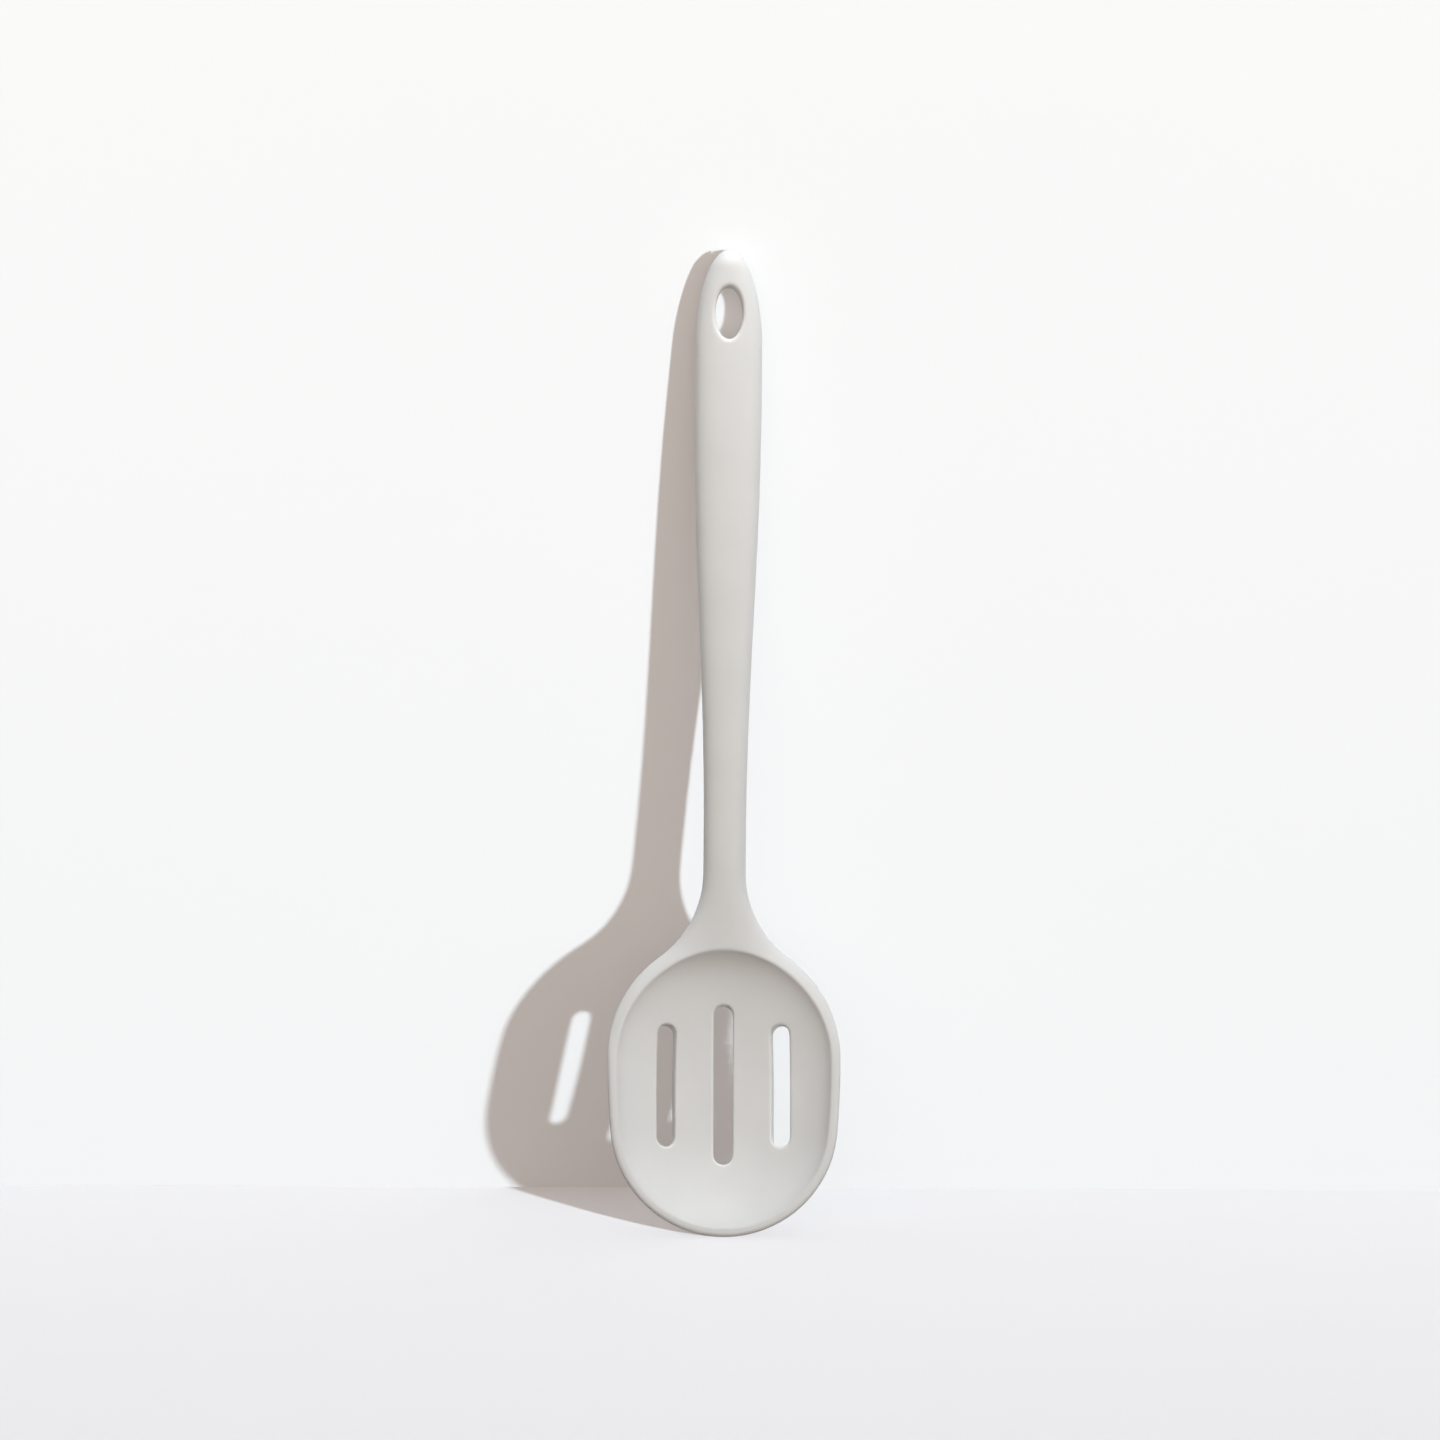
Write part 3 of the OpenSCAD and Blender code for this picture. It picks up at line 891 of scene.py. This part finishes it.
def pale_sheet(name, colour, glow, bounce):
    material, tree, shader = new_finish(name)
    output = next(node for node in tree.nodes if node.type == "OUTPUT_MATERIAL")
    patches = noise(tree, MOTTLE_SCALE, MOTTLE_DETAIL, MOTTLE_ROUGHNESS)
    mottle = spread(tree, patches, NOISE_LOW, NOISE_HIGH, MOTTLE_DARK, MOTTLE_LIGHT)
    passed_on = spread(tree, looked_at(tree), 0.0, 1.0, bounce, 1.0)
    tree.links.new(tint(tree, colour, times(tree, mottle, passed_on)), shader.inputs["Base Color"])
    shader.inputs["Roughness"].default_value = SHEET_ROUGHNESS
    shader.inputs["Specular IOR Level"].default_value = SHEET_SPECULAR
    light = tree.nodes.new("ShaderNodeEmission")
    light.inputs["Color"].default_value = WARM_WHITE
    tree.links.new(spread(tree, looked_at(tree), 0.0, 1.0, 0.0, glow), light.inputs["Strength"])
    lit = tree.nodes.new("ShaderNodeAddShader")
    tree.links.new(shader.outputs[0], lit.inputs[0])
    tree.links.new(light.outputs[0], lit.inputs[1])
    clear = tree.nodes.new("ShaderNodeBsdfTransparent")
    facing = tree.nodes.new("ShaderNodeNewGeometry")
    choose = tree.nodes.new("ShaderNodeMixShader")
    tree.links.new(facing.outputs["Backfacing"], choose.inputs[0])
    tree.links.new(lit.outputs[0], choose.inputs[1])
    tree.links.new(clear.outputs[0], choose.inputs[2])
    tree.links.new(choose.outputs[0], output.inputs["Surface"])
    return material


pale_wall = pale_sheet("pale_wall", WALL_COLOUR, WALL_GLOW, WALL_BOUNCE)
pale_floor = pale_sheet("pale_floor", FLOOR_COLOUR, FLOOR_GLOW, FLOOR_BOUNCE)
print("finishes:", [material.name for material in bpy.data.materials])

# %% [markdown]
# The tool stands on its lip and leans on the wall, so in its own frame the wall and the floor are tilted by
# that lean. The wall has a seam that the tool hides. Right of it the wall is laid in level bands, so that
# each band can take its light from its own angle and the shadow behind the slots falls where it should.

# %% Wall and floor
WALL_LEAN = math.radians(6.8)
STAGE_HALF = 0.6
WALL_RISE = 0.5
FLOOR_REACH = 0.9
SEAM_LOW = -0.0125
SEAM_HIGH = -0.0055
BANDS = 16
BANDS_TOP = 0.049
EYE_BAND = 0.2
up = Vector((0.0, -math.sin(WALL_LEAN), math.cos(WALL_LEAN)))
out = Vector((0.0, -math.cos(WALL_LEAN), -math.sin(WALL_LEAN)))
right = Vector((1.0, 0.0, 0.0))
skin_low = min(vertex.co.dot(up) for vertex in skin_mesh.vertices)
skin_back = min(vertex.co.dot(out) for vertex in skin_mesh.vertices)
corner = up * skin_low + out * skin_back


def stage_sheet(name, corners, material):
    mesh = bpy.data.meshes.new(name)
    mesh.from_pydata(corners, [], [tuple(range(len(corners)))])
    mesh.materials.append(material)
    sheet = bpy.data.objects.new(name, mesh)
    bpy.context.scene.collection.objects.link(sheet)
    sheet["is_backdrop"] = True
    return sheet


def seam_at(height):
    slide = min(height / BANDS_TOP, 1.0)
    return corner + up * height + right * (SEAM_LOW + (SEAM_HIGH - SEAM_LOW) * slide)


def edge_at(height, side):
    return corner + up * height + right * (STAGE_HALF * side)


seam = [seam_at(height) for height in (0.0, BANDS_TOP, WALL_RISE)]
left_corners = [edge_at(0.0, -1.0)] + seam + [edge_at(WALL_RISE, -1.0)]
left_wall = stage_sheet("left_wall", left_corners, pale_wall)
levels = [BANDS_TOP * i / BANDS for i in range(BANDS)] + [BANDS_TOP, EYE_BAND, WALL_RISE]
right_walls = []
for i in range(len(levels) - 1):
    low, high = levels[i], levels[i + 1]
    corners = [seam_at(low), edge_at(low, 1.0), edge_at(high, 1.0), seam_at(high)]
    right_walls.append(stage_sheet("right_wall_%d" % i, corners, pale_wall))
reach = out * FLOOR_REACH
floor_back = [edge_at(0.0, 1.0), edge_at(0.0, -1.0)]
floor = stage_sheet("floor", [floor_back[1] + reach, floor_back[0] + reach] + floor_back, pale_floor)
print("stage:", len(right_walls) + 1, "wall sheets and a floor")

# %% [markdown]
# The lamps are those of a small product studio, and each has one job. A hard lamp on the right models the
# tool. Others beside it fall only on a wall sheet or only on the floor, so that the tool's shadow is clear
# without glare on the tool. A soft box hangs above the tool and leaves the top of the hollow dark. The lamps
# of the bands stand further round for each higher band, so that two slots look onto shade and one onto light.

# %% Lamps
KEY_STRENGTH = 0.36
KEY_SOFTNESS = 0.04
KEY_ACROSS = 0.78
LAMP_RISE = 0.08
WALL_LIGHT = 3.7
LEFT_ACROSS = 0.752
LOW_ACROSS = 0.31
EYE_ACROSS = 0.5
FLOOR_LIGHT = 2.85
FLOOR_ACROSS = 0.67
FLOOR_RISE = 0.25
SHADOW_SOFTNESS = 0.04
HIDDEN_SOFTNESS = 0.09
SOFT_BOX_POWER = 6.5
SOFT_BOX_SIZE = 0.5
SOFT_BOX_ACROSS = 0.12
SOFT_BOX_OUT = 0.30
SOFT_BOX_RISE = 0.65
SOFT_BOX_AIM = up * -0.15
SOFT_BOX_PLACE = right * SOFT_BOX_ACROSS + out * SOFT_BOX_OUT + up * SOFT_BOX_RISE
COOL_WHITE = (0.83, 0.935, 1.0)


def add_lamp(name, kind, strength, place, aim, pieces):
    data = bpy.data.lights.new(name, kind)
    data.energy = strength
    lamp = bpy.data.objects.new(name, data)
    bpy.context.scene.collection.objects.link(lamp)
    lamp.location = place
    lamp.rotation_mode = "QUATERNION"
    lamp.rotation_quaternion = (aim - place).to_track_quat("-Z", "Y")
    lit = bpy.data.collections.new(name + "_lights")
    for piece in pieces:
        lit.objects.link(piece)
    lamp.light_linking.receiver_collection = lit
    return lamp


def add_far_lamp(name, light, across, rise, softness, facing, piece):
    toward = (right * across + out + up * rise).normalized()
    lamp = add_lamp(name, "SUN", light / toward.dot(facing), toward, Vector(), [piece])
    lamp.data.angle = softness
    lamp.data.color = COOL_WHITE


to_key = (right * KEY_ACROSS + out + up * LAMP_RISE).normalized()
key = add_lamp("key", "SUN", KEY_STRENGTH, to_key, Vector(), [skin])
key.data.angle = KEY_SOFTNESS
add_far_lamp("left_wall_lamp", WALL_LIGHT, LEFT_ACROSS, LAMP_RISE, SHADOW_SOFTNESS, out, left_wall)
band_turn = (LEFT_ACROSS - LOW_ACROSS) / BANDS
band_across = [LOW_ACROSS + band_turn * (i + 0.5) for i in range(BANDS)] + [LEFT_ACROSS, EYE_ACROSS]
for sheet, from_right in zip(right_walls, band_across):
    add_far_lamp(sheet.name + "_lamp", WALL_LIGHT, from_right, LAMP_RISE, HIDDEN_SOFTNESS, out, sheet)
add_far_lamp("floor_lamp", FLOOR_LIGHT, FLOOR_ACROSS, FLOOR_RISE, SHADOW_SOFTNESS, up, floor)
soft_box = add_lamp("soft_box", "AREA", SOFT_BOX_POWER, SOFT_BOX_PLACE, SOFT_BOX_AIM, [skin])
soft_box.data.shape = "DISK"
soft_box.data.size = SOFT_BOX_SIZE
soft_box.visible_camera = False
soft_box.data.color = COOL_WHITE
print("key from", [round(v, 2) for v in to_key], "soft box at", [round(v, 2) for v in SOFT_BOX_PLACE])

# %% [markdown]
# A weak sky fills the shadows from the front and a little from all round, as white room walls would.
# The camera sees a plain pale backdrop in place of that sky.

# %% Sky
SKY_FRONT = 1.42
SKY_ROUND = 0.05
SKY_NARROW = 3.0
SKY_COLOUR = (1.0, 0.87, 0.77, 1.0)
BACKDROP = (0.92, 0.92, 0.915, 1.0)

world = bpy.data.worlds.new("studio")
bpy.context.scene.world = world
world.use_nodes = True
sky = world.node_tree
sky.nodes.clear()
direction = sky.nodes.new("ShaderNodeTexCoord")
frontal = sky.nodes.new("ShaderNodeVectorMath")
frontal.operation = "DOT_PRODUCT"
frontal.inputs[1].default_value = out
sky.links.new(direction.outputs["Generated"], frontal.inputs[0])
ahead = spread(sky, frontal.outputs["Value"], 0.0, 1.0, 0.0, 1.0)
narrow = sky.nodes.new("ShaderNodeMath")
narrow.operation = "POWER"
narrow.inputs[1].default_value = SKY_NARROW
sky.links.new(ahead, narrow.inputs[0])
studio = sky.nodes.new("ShaderNodeBackground")
sky_light = spread(sky, narrow.outputs[0], 0.0, 1.0, SKY_ROUND, SKY_ROUND + SKY_FRONT)
sky.links.new(sky_light, studio.inputs["Strength"])
studio.inputs["Color"].default_value = SKY_COLOUR
backdrop = sky.nodes.new("ShaderNodeBackground")
backdrop.inputs["Color"].default_value = BACKDROP
choose_sky = sky.nodes.new("ShaderNodeMixShader")
sky_out = sky.nodes.new("ShaderNodeOutputWorld")
sky.links.new(looked_at(sky), choose_sky.inputs[0])
sky.links.new(studio.outputs[0], choose_sky.inputs[1])
sky.links.new(backdrop.outputs[0], choose_sky.inputs[2])
sky.links.new(choose_sky.outputs[0], sky_out.inputs["Surface"])
print("sky", SKY_ROUND, "all round and", SKY_FRONT, "more from the front")

# %% [markdown]
# The camera stands a metre and a half away, a little above the middle of the tool and nearly straight
# in front. A long lens keeps the outline calm.

# %% Camera
IMAGE_SIDE = 1440
SENSOR = 36.0
FOCAL_PIXELS = 4932.0
CAMERA_AWAY = 1.5
CAMERA_RISE = math.radians(1.9)
CAMERA_TURN = math.radians(-1.75)
CAMERA_ROLL = math.radians(0.45)
CLIP_NEAR = 0.01
CLIP_FAR = 20.0
AIM = Vector((-0.001734, 0.0, -0.1234))

camera_data = bpy.data.cameras.new("camera")
camera_data.sensor_width = SENSOR
camera_data.lens = SENSOR * FOCAL_PIXELS / IMAGE_SIDE
camera_data.clip_start = CLIP_NEAR
camera_data.clip_end = CLIP_FAR
camera = bpy.data.objects.new("camera", camera_data)
bpy.context.scene.collection.objects.link(camera)
flat_back = Vector((math.sin(CAMERA_TURN), -math.cos(CAMERA_TURN), 0.0))
backward = flat_back * math.cos(CAMERA_RISE) + Vector((0.0, 0.0, math.sin(CAMERA_RISE)))
camera.rotation_mode = "QUATERNION"
level_view = (-backward).to_track_quat("-Z", "Y")
camera.rotation_quaternion = level_view @ Matrix.Rotation(CAMERA_ROLL, 3, "Z").to_quaternion()
camera.location = AIM + backward * CAMERA_AWAY
bpy.context.scene.camera = camera
bpy.context.scene.view_settings.view_transform = "Standard"
print("camera at", [round(v, 3) for v in camera.location], "lens", round(camera_data.lens, 1), "mm")

# %% [markdown]
# Last, the skin's box is set beside the imported solids' box, because the looks must not change the size.

# %% Measure the boxes
skin_low_corner, skin_high_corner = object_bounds()
boxes = {
    "cad": [list(cad_low), list(cad_high)],
    "visual": [list(skin_low_corner), list(skin_high_corner)],
}
for name, (low, high) in boxes.items():
    print(name, "box in mm:", in_mm(low), in_mm(high))
